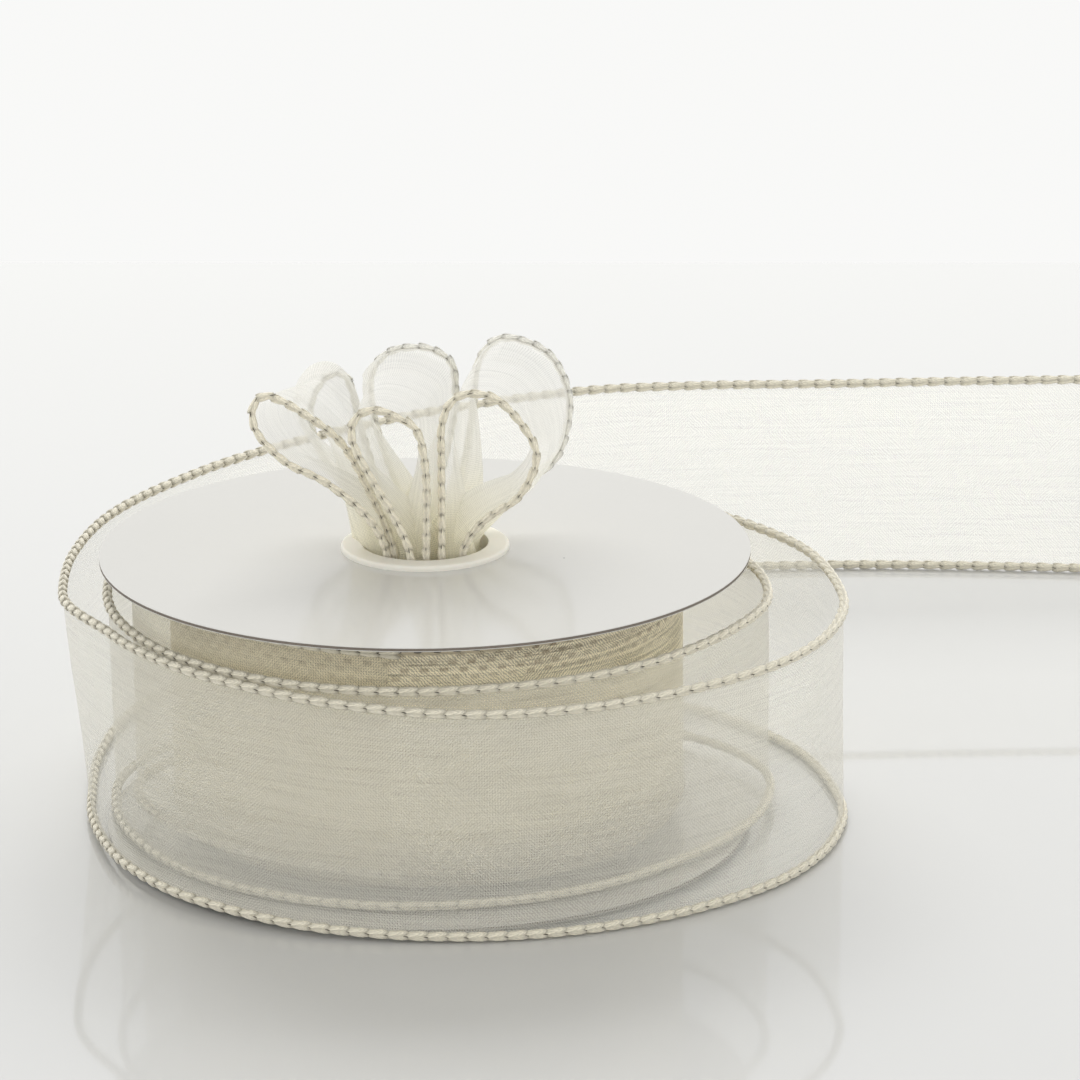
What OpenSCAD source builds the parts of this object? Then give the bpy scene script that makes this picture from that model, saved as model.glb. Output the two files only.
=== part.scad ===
// Spool of wired sheer ribbon lying on its side face, with its loose outer turns,
// its free tail and a small three-loop bow tucked into the hub.
// Frame: +Z up along the spool's axis, origin on the axis at the foot of the hub.

/* [Ribbon] */
// Overall width of the ribbon, corded edges included
ribbon_w = 38; // [20:1:44]
// Thickness of the corded edge
cord_d = 1.8; // [1:0.1:2.4]
// Diameter of the wire inside each corded edge
wire_d = 0.3; // [0.2:0.05:0.6]
// Thickness that the woven cloth is modelled at
cloth_t = 0.3; // [0.2:0.05:0.5]

/* [Flanges] */
// Diameter of the two side flanges
flange_d = 105; // [96:1:180]
// Room between the flanges beyond the ribbon's width
flange_room = 7; // [3.5:0.5:30]
// Thickness of the grey board in a flange
board_t = 0.4; // [0.3:0.1:2]
// Thickness of the white paper pasted on each side of the board
liner_t = 0.1; // [0.05:0.05:0.3]

/* [Hub] */
// Diameter of the spindle bore through the lower half
bore_d = 19; // [15:0.5:30]
// Wall of the lower half's plug
plug_wall = 1.7; // [0.8:0.1:3]
// Wall of the upper half's sleeve around the plug
socket_wall = 1; // [0.6:0.1:3]
// Wall of the upper half's open mouth, where the bow is tucked
mouth_wall = 1.95; // [1.2:0.05:3]
// Depth of the mouth, down to the lower half's plug
mouth_depth = 14; // [12:1:20]
// How far the lips reach over the flanges
lip_reach = 1.4; // [0.8:0.1:6]
// Height of the lip outside the flange
lip_h = 0.9; // [0.6:0.1:3]
// Radius of the lip's rounded outer edge
lip_round = 0.5; // [0.1:0.1:0.5]
// Length of plug inside the upper half
plug_grip = 20; // [8:1:24]
// Radial clearance of every fit inside the spool
fit_gap = 0.05; // [0.02:0.01:0.1]

/* [Core and winding] */
// Wall of the paper core tube
core_t = 1.2; // [0.8:0.1:3]
// Thickness of the tape that holds the ribbon's first end
tape_t = 0.1; // [0.05:0.05:0.2]
// Width of that tape, along the core
tape_w = 20; // [8:1:30]
// Part of the core's circumference that the tape covers, in degrees
tape_span = 90; // [30:5:180]
// Outside diameter of the wound ribbon
pack_d = 83.6; // [60:0.2:100]
// Height of the winding above the lower flange
pack_lift = 1.3; // [0.2:0.1:3]

/* [Loose ribbon] */
// Room between the loose ribbon and the spool
loose_gap = 0.3; // [0.2:0.05:1]
// Least room that the loose turns have outside the winding
loose_room = 10; // [8:0.5:20]
// Gap at the bend where the free tail starts
tail_gap = 0.8; // [0.4:0.1:2]

/* [Bow] */
// How far the bow's foot reaches into the mouth
foot_depth = 10; // [6:1:11]
// Height of the tie wire above the foot's end
tie_z = 3; // [2:0.5:6]
// Diameter of the tie wire
tie_d = 0.5; // [0.3:0.1:0.6]

/* [Hidden] */
$fn = 96;
flange_t = board_t + 2 * liner_t;
flange_r = flange_d / 2;
flange_gap = ribbon_w + flange_room;
plug_d = bore_d + 2 * plug_wall;
sleeve_d = plug_d + 2 * socket_wall;
mouth_d = sleeve_d - 2 * mouth_wall;
lip_d = sleeve_d + 2 * lip_reach;
low_flange_z = lip_h;
gap_z = low_flange_z + flange_t;
top_flange_z = gap_z + flange_gap;
hub_top = top_flange_z + flange_t + lip_h;
hole_d = sleeve_d + 2 * fit_gap;
shoulder_z = hub_top - mouth_depth;
plug_top = shoulder_z - fit_gap;
plug_z = plug_top - plug_grip;
core_r = sleeve_d / 2 + fit_gap + core_t;
pack_r = pack_d / 2;
pack_z = gap_z + pack_lift;
cord_r = cord_d / 2;
edge_step = ribbon_w - cord_d;

// The loose ribbon keeps outside pack_side where it lies between the flanges,
// and outside rim_side where it stands on the table round them, which is further
// out than the flanges where the winding nearly fills them.
pack_side = pack_r + loose_gap + cord_r;
rim_side = max(flange_r + loose_gap + cord_r, pack_side + loose_room);
rim_lift = gap_z + loose_gap;

// The turns round the spool, from the winding outwards. Each row is the angle
// round the axis, the share of the way from pack_side to rim_side, the distance
// further out, how far the upper edge leans outwards, and how much of rim_lift
// the lower edge is raised.
inner_rows = [
    [262, 0.00, 0.0, 0.0, 1], [246, 0.04, 0.0, 0.0, 1], [228, 0.12, 0.0, 0.0, 1],
    [211, 0.22, 0.0, 0.0, 1], [195, 0.34, 0.0, 0.0, 1], [180, 0.42, 0.0, 0.0, 1],
    [165, 0.32, 0.0, 0.0, 1], [150, 0.14, 0.0, 0.0, 1], [137, 0.05, 0.0, 0.0, 1],
    [124, 0.03, 0.0, 0.0, 1], [112, 0.08, 0.0, 0.0, 1], [99, 0.16, 0.0, 0.0, 1],
    [86, 0.28, 0.0, 0.0, 1], [72, 0.46, 0.0, 0.0, 1], [52, 0.80, 0.0, -0.5, 1], [32, 1.00, 2.5, -1.5, 1],
    [14, 1.00, 4.3, -2.5, 1], [-4, 1.00, 0.8, 0.8, 1], [-21, 0.68, 0.0, 2.4, 1],
    [-40, 0.38, 0.0, 3.6, 1], [-57, 0.28, 0.0, 3.6, 1], [-75, 0.22, 0.0, 3.4, 1],
    [-95, 0.24, 0.0, 3.2, 1], [-115, 0.30, 0.0, 2.8, 1], [-135, 0.38, 0.0, 2.0, 1],
    [-152, 0.46, 0.0, 1.5, 1], [-170, 0.62, 0.0, 0.8, 1], [-186, 0.82, 0.0, 0.3, 1]];
outer_rows = [
    [-200, 1.00, 0.2, 0.0, 1], [-218, 1, 2.5, 0.0, 0.5], [-238, 1, 6, 0, 0],
    [-256, 1, 9.5, 0, 0], [-274, 1, 12.5, 0, 0], [-292, 1, 15, 0, 0],
    [-308, 1, 16.5, 0.0, 0], [-322, 1, 16.3, 0.2, 0], [-338, 1, 15.6, 0.2, 0],
    [-357, 1, 14.4, -0.2, 0], [-370, 1, 13.2, 0.0, 0], [-382, 1, 11.6, 0.0, 0],
    [-394, 1, 9.3, 0.0, 0], [-409, 1, 6.1, 0.0, 0], [-423, 1, 3.7, 0.5, 0],
    [-436, 1, 1.9, 0.6, 0], [-448, 1, 0.6, 0.1, 0.05], [-460, 1, 0.1, -1.2, 0.2],
    [-475, 1, 0.2, -2.5, 0.45], [-495, 1, 0.3, -2.8, 0.7], [-512, 1, 0.1, -2.0, 0.75],
    [-526, 1, 0.1, -0.8, 0.6], [-540, 1, 1.3, 2.4, 0.4], [-551, 1, 3.2, 3.6, 0.2],
    [-570, 1, 11, 3.0, 0], [-586, 1, 21.5, 2.0, 0], [-600, 1, 32, 1.0, 0],
    [-613, 1, 44, 0.4, 0]];
// The far stretch behind the spool: x, distance beyond rim_side, lean, lift.
bend_rows = [[-3, 62, 0, 0]];
tail_rows = [[27, 77, 0, 0], [50, 81.5, -1, 0], [77, 82.5, -2, 0], [100, 81, 0, 0],
    [124, 78, 3, 0], [136, 76.5, 4, 0]];
strip_steps = 4;

// The bow's loops. Each edge runs from one foot up round the loop and down to
// the other foot; z is measured from the top of the hub.
bow_left = [
    [[-6.6, -4.4, -foot_depth], [-6.2, -6, 0], [-9.6, -9, 7.5], [-16, -9, 13], [-22, -9, 16.3],
     [-26.5, -9, 21.5], [-26.6, -9, 26], [-24, -9, 27], [-18.6, -8.4, 23.8], [-13, -7, 18.6],
     [-8.8, -6.2, 10.5], [-5, -5.6, 0], [-4.6, -5.6, -foot_depth]],
    [[-6.6, 4.4, -foot_depth], [-6.8, 5.2, 0], [-12.5, 11, 6], [-17, 16, 11], [-18.5, 19, 16],
     [-18, 20, 20.5], [-16, 20, 24], [-13.5, 20, 24.5], [-11.8, 19.5, 21], [-10.6, 17, 16],
     [-8, 12, 8], [-4.8, 6.8, 0], [-4.4, 6.2, -foot_depth]]];
bow_middle = [
    [[-2.2, -7.6, -foot_depth], [-2.4, -8, 0], [-5, -9, 7], [-8, -9, 12.5], [-11.1, -9, 19],
     [-11, -9, 22.7], [-9, -9, 24.4], [-6.5, -9, 24.4], [-3.6, -9, 23], [-1, -9, 21],
     [0.2, -9.2, 15], [0.3, -8.6, 7], [0.1, -8, 0], [0.1, -7.6, -foot_depth]],
    [[-2.2, 7, -foot_depth], [-2.4, 7.4, 0], [-4.6, 11, 7], [-7, 14.5, 13], [-8.4, 16.5, 19],
     [-8.2, 17, 24], [-5.5, 17, 27.2], [-1.5, 17, 28], [2, 17, 27.4], [5, 17, 24.5],
     [5, 15.5, 17], [3, 12, 9], [0.4, 7.6, 0], [0.1, 7, -foot_depth]]];
bow_right = [
    [[2.5, -7, -foot_depth], [2.6, -7, 0], [2.7, -6.8, 8], [2.8, -6.8, 16], [3, -7.4, 22],
     [5, -8.6, 26.2], [8.2, -9, 27], [11.5, -9, 26.2], [15.5, -9, 22], [17.9, -9, 16.5],
     [15, -9, 10], [9.5, -8.6, 6], [6, -6.6, 0], [5.6, -5.6, -foot_depth]],
    [[2.5, 7, -foot_depth], [3, 7.4, 0], [6.4, 12, 9], [8.2, 16, 18], [9, 17, 25],
     [12, 17, 29], [16, 17, 29], [21, 17, 26.2], [23.8, 17, 20], [23.4, 16, 14],
     [21, 14, 9], [14, 10, 5], [6.4, 5.6, 0], [5.6, 5.4, -foot_depth]]];
bow_steps = 3;
// The loops are drawn for a mouth of this diameter, and below this height over
// the hub they draw in or spread to suit the mouth's own.
drawn_mouth_d = 20.5;
gather_height = 12;

// ---- smooth curves through chosen points --------------------------------

function at(p, i) = p[max(0, min(len(p) - 1, i))];
function blend(a, b, c, d, t) =
    0.5 * (2 * b + (c - a) * t + (2 * a - 5 * b + 4 * c - d) * t * t
    + (3 * b - a - 3 * c + d) * t * t * t);
function smooth(p, steps) = [
    for (i = [0 : len(p) - 2])
        for (k = [0 : steps - 1])
            blend(at(p, i - 1), p[i], p[i + 1], at(p, i + 2), k / steps),
    p[len(p) - 1]];
function cut(p, from, to) = [for (i = [from : to]) p[i]];
function unit(v) = v / norm(v);
function along(p, i) = unit(at(p, i + 1) - at(p, i - 1));

// ---- the loose ribbon's route: x, y, lean, lift -------------------------

function on_turn(row) =
    let (r = pack_side + row[1] * (rim_side - pack_side) + row[2])
    [r * cos(row[0]), r * sin(row[0]), row[3], row[4] * rim_lift];
function behind(row) = [row[0], rim_side + row[1], row[2], row[3]];
route = smooth(concat(
    [for (row = inner_rows) on_turn(row)], [for (row = outer_rows) on_turn(row)],
    [for (row = bend_rows) behind(row)], [for (row = tail_rows) behind(row)]), strip_steps);
inner_end = strip_steps * (len(inner_rows) - 1);
bend_at = strip_steps * (len(inner_rows) + len(outer_rows));
bend_to = route[bend_at + 1];
tail_start = route[bend_at] + (bend_to - route[bend_at])
    * tail_gap / norm([bend_to.x - route[bend_at].x, bend_to.y - route[bend_at].y]);

function lower_edge(way) = [for (p = way) [p.x, p.y, p[3] + cord_r]];
function upper_edge(way) = [
    for (i = [0 : len(way) - 1])
        let (t = unit([at(way, i + 1).x - at(way, i - 1).x, at(way, i + 1).y - at(way, i - 1).y]))
        [way[i].x - t.y * way[i][2], way[i].y + t.x * way[i][2], way[i][3] + cord_r + edge_step]];
inner_way = cut(route, 0, inner_end);
outer_way = cut(route, inner_end, bend_at);
tail_way = concat([tail_start], cut(route, bend_at + 1, len(route) - 1));
inner_edges = [lower_edge(inner_way), upper_edge(inner_way)];
outer_edges = [lower_edge(outer_way), upper_edge(outer_way)];
tail_edges = [lower_edge(tail_way), upper_edge(tail_way)];

function gathered(edge) = [
    for (p = edge)
        let (share = max(0, min(1, 1 - p.z / gather_height)),
            k = 1 + (mouth_d / drawn_mouth_d - 1) * share)
        [p.x * k, p.y * k, p.z + hub_top]];
left_edges = [for (edge = bow_left) smooth(gathered(edge), bow_steps)];
middle_edges = [for (edge = bow_middle) smooth(gathered(edge), bow_steps)];
right_edges = [for (edge = bow_right) smooth(gathered(edge), bow_steps)];

// ---- strips of ribbon ---------------------------------------------------

// Skins a row of rings, each with the same number of points. The two broad faces
// of a strip are split along the same diagonals, so a twisted strip keeps its
// thickness.
module skin(rings) {
    m = len(rings[0]);
    last = m * (len(rings) - 1);
    sides = [
        for (i = [0 : len(rings) - 2])
            for (j = [0 : m - 1])
                let (a = i * m + j, b = i * m + (j + 1) % m)
                each j < m / 2 ? [[a, b, b + m], [a, b + m, a + m]]
                    : [[a, b, a + m], [b, b + m, a + m]]];
    caps = [[for (j = [m - 1 : -1 : 0]) j], [for (j = [0 : m - 1]) last + j]];
    polyhedron([for (ring = rings) each ring], concat(sides, caps), convexity = 10);
}

// The woven cloth of a strip, from one edge to the other.
module cloth(edges) {
    color([0.93, 0.92, 0.86])
        skin([
            for (i = [0 : len(edges[0]) - 1])
                let (
                    a = edges[0][i],
                    b = edges[1][i],
                    across = unit(b - a),
                    out = unit(cross(along(edges[0], i), across)) * cloth_t / 2,
                    low = a - across * cord_r,
                    high = b + across * cord_r)
                [low - out, low + out, high + out, high - out]]);
}

// A round cord or wire along edge k of a strip.
module edge_line(edges, k, d, sides) {
    skin([
        for (i = [0 : len(edges[k]) - 1])
            let (
                t = along(edges[k], i),
                out = unit(cross(t, edges[1][i] - edges[0][i])),
                up = cross(out, t))
            [for (j = [0 : sides - 1]) edges[k][i]
                + (up * cos(360 * j / sides) + out * sin(360 * j / sides)) * d / 2]]);
}
module edge_cord(edges, k) {
    color([0.86, 0.83, 0.72]) edge_line(edges, k, cord_d, 6);
}
module edge_wire(edges, k) {
    color([0.3, 0.3, 0.28]) edge_line(edges, k, wire_d, 4);
}

// ---- the spool ----------------------------------------------------------

module disc(z, t, d) {
    translate([0, 0, z])
        linear_extrude(t)
            difference() {
                circle(d = d, $fn = 192);
                circle(d = hole_d);
            }
}
module flange_board(z) {
    color([0.55, 0.52, 0.47]) disc(z + liner_t, board_t, flange_d);
}
module flange_liner(z) {
    color([0.92, 0.92, 0.9]) disc(z, liner_t, flange_d);
}
module upper_flange_board() { flange_board(top_flange_z); }
module upper_flange_outer_liner() { flange_liner(top_flange_z + flange_t - liner_t); }
module upper_flange_inner_liner() { flange_liner(top_flange_z); }
module lower_flange_board() { flange_board(low_flange_z); }
module lower_flange_outer_liner() { flange_liner(low_flange_z); }
module lower_flange_inner_liner() { flange_liner(low_flange_z + flange_t - liner_t); }

module ring(z, h, r_in, r_out) {
    translate([0, 0, z])
        linear_extrude(h)
            difference() {
                circle(r = r_out);
                circle(r = r_in);
            }
}
// A lip whose outer edge is rounded at its free face, drawn from its seat upwards.
module lip(r_in) {
    corner = lip_d / 2 - lip_round;
    rotate_extrude()
        polygon(concat(
            [[r_in, 0], [lip_d / 2, 0]],
            [for (a = [0 : 15 : 90]) [corner + lip_round * cos(a), lip_h - lip_round + lip_round * sin(a)]],
            [[r_in, lip_h]]));
}
module hub_upper_half() {
    color([0.93, 0.92, 0.88]) {
        translate([0, 0, hub_top - lip_h]) lip(mouth_d / 2);
        ring(shoulder_z, mouth_depth - lip_h, mouth_d / 2, sleeve_d / 2);
        ring(plug_z, plug_grip + fit_gap, plug_d / 2 + fit_gap, sleeve_d / 2);
    }
}
module hub_lower_half() {
    color([0.93, 0.92, 0.88]) {
        translate([0, 0, lip_h]) mirror([0, 0, 1]) lip(bore_d / 2);
        ring(lip_h, plug_z - fit_gap - lip_h, bore_d / 2, sleeve_d / 2);
        ring(plug_z - fit_gap, plug_grip, bore_d / 2, plug_d / 2);
    }
}
module core_tube() {
    color([0.72, 0.66, 0.55]) ring(gap_z, flange_gap, core_r - core_t, core_r);
}
module start_tape() {
    color([0.9, 0.88, 0.8])
        translate([0, 0, pack_z + (ribbon_w - tape_w) / 2])
            rotate_extrude(angle = tape_span) translate([core_r, 0]) square([tape_t, tape_w]);
}
module ribbon_pack() {
    color([0.88, 0.86, 0.76]) ring(pack_z + cord_d, ribbon_w - 2 * cord_d, core_r + tape_t, pack_r);
}
module pack_upper_edge() {
    color([0.86, 0.83, 0.72]) ring(pack_z + ribbon_w - cord_d, cord_d, core_r + tape_t, pack_r);
}
module pack_lower_edge() {
    color([0.86, 0.83, 0.72]) ring(pack_z, cord_d, core_r + tape_t, pack_r);
}

// ---- the tie that gathers the bow's feet --------------------------------

module bow_tie_wire() {
    tie_r = mouth_d / 2 - loose_gap - tie_d / 2;
    color([0.45, 0.45, 0.42])
        translate([0, 0, hub_top - foot_depth + tie_z])
            rotate_extrude() translate([tie_r, 0]) circle(d = tie_d, $fn = 24);
}

upper_flange_board();
upper_flange_outer_liner();
upper_flange_inner_liner();
lower_flange_board();
lower_flange_outer_liner();
lower_flange_inner_liner();
hub_upper_half();
hub_lower_half();
core_tube();
start_tape();
ribbon_pack();
pack_upper_edge();
pack_lower_edge();
cloth(inner_edges);  // inner_turn
edge_cord(inner_edges, 0);  // inner_turn_lower_cord
edge_cord(inner_edges, 1);  // inner_turn_upper_cord
edge_wire(inner_edges, 0);  // inner_turn_lower_wire
edge_wire(inner_edges, 1);  // inner_turn_upper_wire
cloth(outer_edges);  // outer_turn
edge_cord(outer_edges, 0);  // outer_turn_lower_cord
edge_cord(outer_edges, 1);  // outer_turn_upper_cord
edge_wire(outer_edges, 0);  // outer_turn_lower_wire
edge_wire(outer_edges, 1);  // outer_turn_upper_wire
cloth(tail_edges);  // tail
edge_cord(tail_edges, 0);  // tail_lower_cord
edge_cord(tail_edges, 1);  // tail_upper_cord
edge_wire(tail_edges, 0);  // tail_lower_wire
edge_wire(tail_edges, 1);  // tail_upper_wire
cloth(left_edges);  // bow_left_loop
edge_cord(left_edges, 0);  // bow_left_front_cord
edge_cord(left_edges, 1);  // bow_left_rear_cord
edge_wire(left_edges, 0);  // bow_left_front_wire
edge_wire(left_edges, 1);  // bow_left_rear_wire
cloth(middle_edges);  // bow_middle_loop
edge_cord(middle_edges, 0);  // bow_middle_front_cord
edge_cord(middle_edges, 1);  // bow_middle_rear_cord
edge_wire(middle_edges, 0);  // bow_middle_front_wire
edge_wire(middle_edges, 1);  // bow_middle_rear_wire
cloth(right_edges);  // bow_right_loop
edge_cord(right_edges, 0);  // bow_right_front_cord
edge_cord(right_edges, 1);  // bow_right_rear_cord
edge_wire(right_edges, 0);  // bow_right_front_wire
edge_wire(right_edges, 1);  // bow_right_rear_wire
bow_tie_wire();
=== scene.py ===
"""Flanged spool of wired sheer ribbon with a small loop bow: the looks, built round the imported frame."""

import math

import bpy
from mathutils import Matrix, Vector, noise


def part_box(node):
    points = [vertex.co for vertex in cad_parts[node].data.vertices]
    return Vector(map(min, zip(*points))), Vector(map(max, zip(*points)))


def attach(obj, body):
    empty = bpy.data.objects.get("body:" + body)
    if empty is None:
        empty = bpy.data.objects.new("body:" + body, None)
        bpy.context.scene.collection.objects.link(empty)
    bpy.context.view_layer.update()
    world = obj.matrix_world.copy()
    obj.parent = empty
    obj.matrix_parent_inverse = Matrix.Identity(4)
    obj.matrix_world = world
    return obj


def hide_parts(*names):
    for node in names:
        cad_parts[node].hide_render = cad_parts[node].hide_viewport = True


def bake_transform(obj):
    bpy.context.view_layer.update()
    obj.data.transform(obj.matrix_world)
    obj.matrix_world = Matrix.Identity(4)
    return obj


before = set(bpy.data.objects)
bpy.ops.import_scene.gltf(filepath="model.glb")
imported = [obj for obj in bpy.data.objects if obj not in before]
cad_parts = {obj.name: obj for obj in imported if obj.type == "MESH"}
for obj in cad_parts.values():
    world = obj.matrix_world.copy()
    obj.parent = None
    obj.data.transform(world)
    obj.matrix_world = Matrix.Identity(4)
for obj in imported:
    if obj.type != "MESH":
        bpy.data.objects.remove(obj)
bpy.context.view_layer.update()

MM = 0.001

# ---- sizes of the ribbon, in millimetres ------------------------------------

RIBBON_W = 38
CORD_D = 1.8
EDGE_STEP = RIBBON_W - CORD_D
STITCH_PITCH = 3.05
WEAVE_PITCH = 0.4
BOW_WEAVE_PITCH = 0.26
CLOTH_COLUMNS = 18
WINDING_PITCH = 0.59
LOOSE_GAP = 0.3


def corner_mm(node):
    """The node's lowest and highest corners, in millimetres."""
    low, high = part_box(node)
    return low / MM, high / MM


_, FLANGE_HIGH = corner_mm("upper_flange_outer_liner")
_, LOWER_FLANGE_HIGH = corner_mm("lower_flange_inner_liner")
_, HUB_HIGH = corner_mm("hub_upper_half")
_, PACK_HIGH = corner_mm("ribbon_pack")
_, TAPE_HIGH = corner_mm("start_tape")
FLANGE_R = FLANGE_HIGH.x
HUB_TOP = HUB_HIGH.z
PACK_R = PACK_HIGH.x
CORE_R = TAPE_HIGH.x
PACK_SIDE = PACK_R + LOOSE_GAP + CORD_D / 2
RIM_SIDE = FLANGE_R + LOOSE_GAP + CORD_D / 2
RIM_LIFT = LOWER_FLANGE_HIGH.z + LOOSE_GAP

# ---- the loose ribbon's route, as the frame has it --------------------------

# Angle round the axis, share of the way from the winding's side to the rim's,
# distance further out, outward lean of the upper edge, and how high it stands:
# 0 on the table, 1 just clear of the lower flange, more where it leaves the winding.
INNER_ROWS = [
    (262, 0.00, 0.0, 0.0, 3.3), (246, 0.04, 0.0, 0.0, 3.6), (228, 0.12, 0.0, 0.0, 3.8),
    (211, 0.22, 0.0, 0.0, 3.8), (195, 0.34, 0.0, 0.0, 3.6), (180, 0.42, 0.0, 0.0, 3.3),
    (165, 0.32, 0.0, 0.0, 2.8), (150, 0.14, 0.0, 0.0, 2.2), (137, 0.05, 0.0, 0.0, 1.6),
    (124, 0.03, 0.0, 0.0, 1.1), (112, 0.08, 0.0, 0.0, 1), (99, 0.16, 0.0, 0.0, 1),
    (86, 0.28, 0.0, 0.0, 1), (72, 0.46, 0.0, 0.0, 1), (52, 0.80, 0.0, -0.5, 1),
    (32, 1.00, 2.5, -1.5, 1), (14, 1.00, 4.3, -2.5, 1), (-4, 1.00, 0.8, 0.8, 1),
    (-21, 0.68, 0.0, 2.4, 1), (-40, 0.38, 0.0, 3.6, 1), (-57, 0.28, 0.0, 3.6, 1),
    (-75, 0.22, 0.0, 3.4, 1), (-95, 0.24, 0.0, 3.2, 1), (-115, 0.30, 0.0, 2.8, 1),
    (-135, 0.38, 0.0, 2.0, 1), (-152, 0.46, 0.0, 1.5, 1), (-170, 0.62, 0.0, 0.8, 1),
    (-186, 0.82, 0.0, 0.3, 1)]
OUTER_ROWS = [
    (-200, 1, 0.2, 0.0, 1), (-218, 1, 2.5, 0.0, 0.5), (-238, 1, 6, 0, 0),
    (-256, 1, 9.5, 0, 0), (-274, 1, 12.5, 0, 0), (-292, 1, 15, 0, 0),
    (-308, 1, 16.5, 0.0, 0), (-322, 1, 16.3, 0.2, 0), (-338, 1, 15.6, 0.2, 0),
    (-357, 1, 14.4, -0.2, 0), (-370, 1, 13.2, 0.0, 0), (-382, 1, 11.6, 0.0, 0),
    (-394, 1, 9.3, 0.0, 0), (-409, 1, 6.1, 0.0, 0), (-423, 1, 3.7, 0.5, 0),
    (-436, 1, 1.9, 0.6, 0), (-448, 1, 0.6, 0.1, 0.05), (-460, 1, 0.1, -1.2, 0.2),
    (-475, 1, 0.2, -2.5, 0.45), (-495, 1, 0.3, -2.8, 0.7), (-512, 1, 0.1, -2.0, 0.75),
    (-526, 1, 0.1, -0.8, 0.6), (-540, 1, 1.3, 2.4, 0.4), (-551, 1, 3.2, 3.6, 0.2),
    (-570, 1, 11, 3.0, 0), (-586, 1, 21.5, 2.0, 0), (-600, 1, 32, 1.0, 0),
    (-613, 1, 44, 0.4, 0)]
# The far stretch behind the spool: x, distance beyond the rim's side, lean, lift.
FAR_ROWS = [
    (-3, 62, 0, 0), (27, 77, 0, 0), (50, 81.5, -1, 0), (77, 82.5, -2, 0),
    (100, 81, 0, 0), (124, 78, 3, 0), (136, 76.5, 4, 0)]
TAIL_FROM_ROW = len(INNER_ROWS) + len(OUTER_ROWS) - 2

FOOT = -10
# The bow's loops: front edge, then rear edge, each from foot to foot, with z
# measured from the top of the hub.
BOW_LOOPS = {
    "left": (
        [(-6.6, -4.4, FOOT), (-6.2, -6, 0), (-9.6, -9, 7.5), (-16, -9, 13), (-22, -9, 16.3),
         (-26.5, -9, 21.5), (-26.6, -9, 26), (-24, -9, 27), (-18.6, -8.4, 23.8), (-13, -7, 18.6),
         (-8.8, -6.2, 10.5), (-5, -5.6, 0), (-4.6, -5.6, FOOT)],
        [(-6.6, 4.4, FOOT), (-6.8, 5.2, 0), (-12.5, 11, 6), (-17, 16, 11), (-18.5, 19, 16),
         (-17.6, 20, 19.8), (-15.6, 20, 22.4), (-13.2, 20, 22.9), (-11.5, 19.5, 20), (-10.6, 17, 16),
         (-8, 12, 8), (-4.8, 6.8, 0), (-4.4, 6.2, FOOT)]),
    "middle": (
        [(-2.2, -7.6, FOOT), (-2.4, -8, 0), (-5, -9, 7), (-8, -9, 12.5), (-11.1, -9, 19),
         (-11, -9, 22.7), (-9, -9, 24.4), (-6.5, -9, 24.4), (-3.6, -9, 23), (-1, -9, 21),
         (0.2, -9.2, 15), (0.3, -8.6, 7), (0.1, -8, 0), (0.1, -7.6, FOOT)],
        [(-2.2, 7, FOOT), (-2.4, 7.4, 0), (-4.6, 11, 7), (-7, 14.5, 13), (-8.4, 16.5, 19),
         (-8.2, 17, 24), (-5.5, 17, 27.2), (-1.5, 17, 28), (2, 17, 27.4), (5, 17, 24.5),
         (5, 15.5, 17), (3, 12, 9), (0.4, 7.6, 0), (0.1, 7, FOOT)]),
    "right": (
        [(2.5, -7, FOOT), (2.6, -7, 0), (2.7, -6.8, 8), (2.8, -6.8, 16), (3, -7.4, 22),
         (5, -8.6, 26.2), (8.2, -9, 27), (11.5, -9, 26.2), (15.5, -9, 22), (17.9, -9, 16.5),
         (15, -9, 10), (9.5, -8.6, 6), (6, -6.6, 0), (5.6, -5.6, FOOT)],
        [(2.5, 7, FOOT), (3, 7.4, 0), (6.4, 12, 9), (8.2, 16, 18), (9, 17, 25),
         (12, 17, 29), (16, 17, 29), (21, 17, 26.2), (23.8, 17, 20), (23.4, 16, 14),
         (21, 14, 9), (14, 10, 5), (6.4, 5.6, 0), (5.6, 5.4, FOOT)])}


# ---- camera, table and light -------------------------------------------------

# Where the camera stands, in millimetres, and its azimuth, elevation and roll, in degrees.
CAMERA_PLACE = (-0.08, -778.21, 284.40)
CAMERA_TURN = (1.371, 16.892, 0.450)
CAMERA_LENS = 167.957


def make_camera():
    """The camera stands in front, a little above, with a long lens."""
    azimuth, elevation, roll = (math.radians(a) for a in CAMERA_TURN)
    forward = Vector((
        math.sin(azimuth) * math.cos(elevation),
        math.cos(azimuth) * math.cos(elevation),
        -math.sin(elevation)))
    level = Vector((math.cos(azimuth), -math.sin(azimuth), 0))
    upright = level.cross(forward)
    right = math.cos(roll) * level - math.sin(roll) * upright
    up = math.sin(roll) * level + math.cos(roll) * upright
    data = bpy.data.cameras.new("camera")
    data.sensor_width = 36
    data.lens = CAMERA_LENS
    data.clip_start = 0.05
    data.clip_end = 20
    camera = bpy.data.objects.new("camera", data)
    camera.matrix_world = Matrix.Translation(Vector(CAMERA_PLACE) * MM) @ Matrix(
        (right, up, -forward)).transposed().to_4x4()
    bpy.context.scene.collection.objects.link(camera)
    bpy.context.scene.camera = camera


def new_object(name, mesh):
    piece = bpy.data.objects.new(name, mesh)
    bpy.context.scene.collection.objects.link(piece)
    return piece


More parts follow.
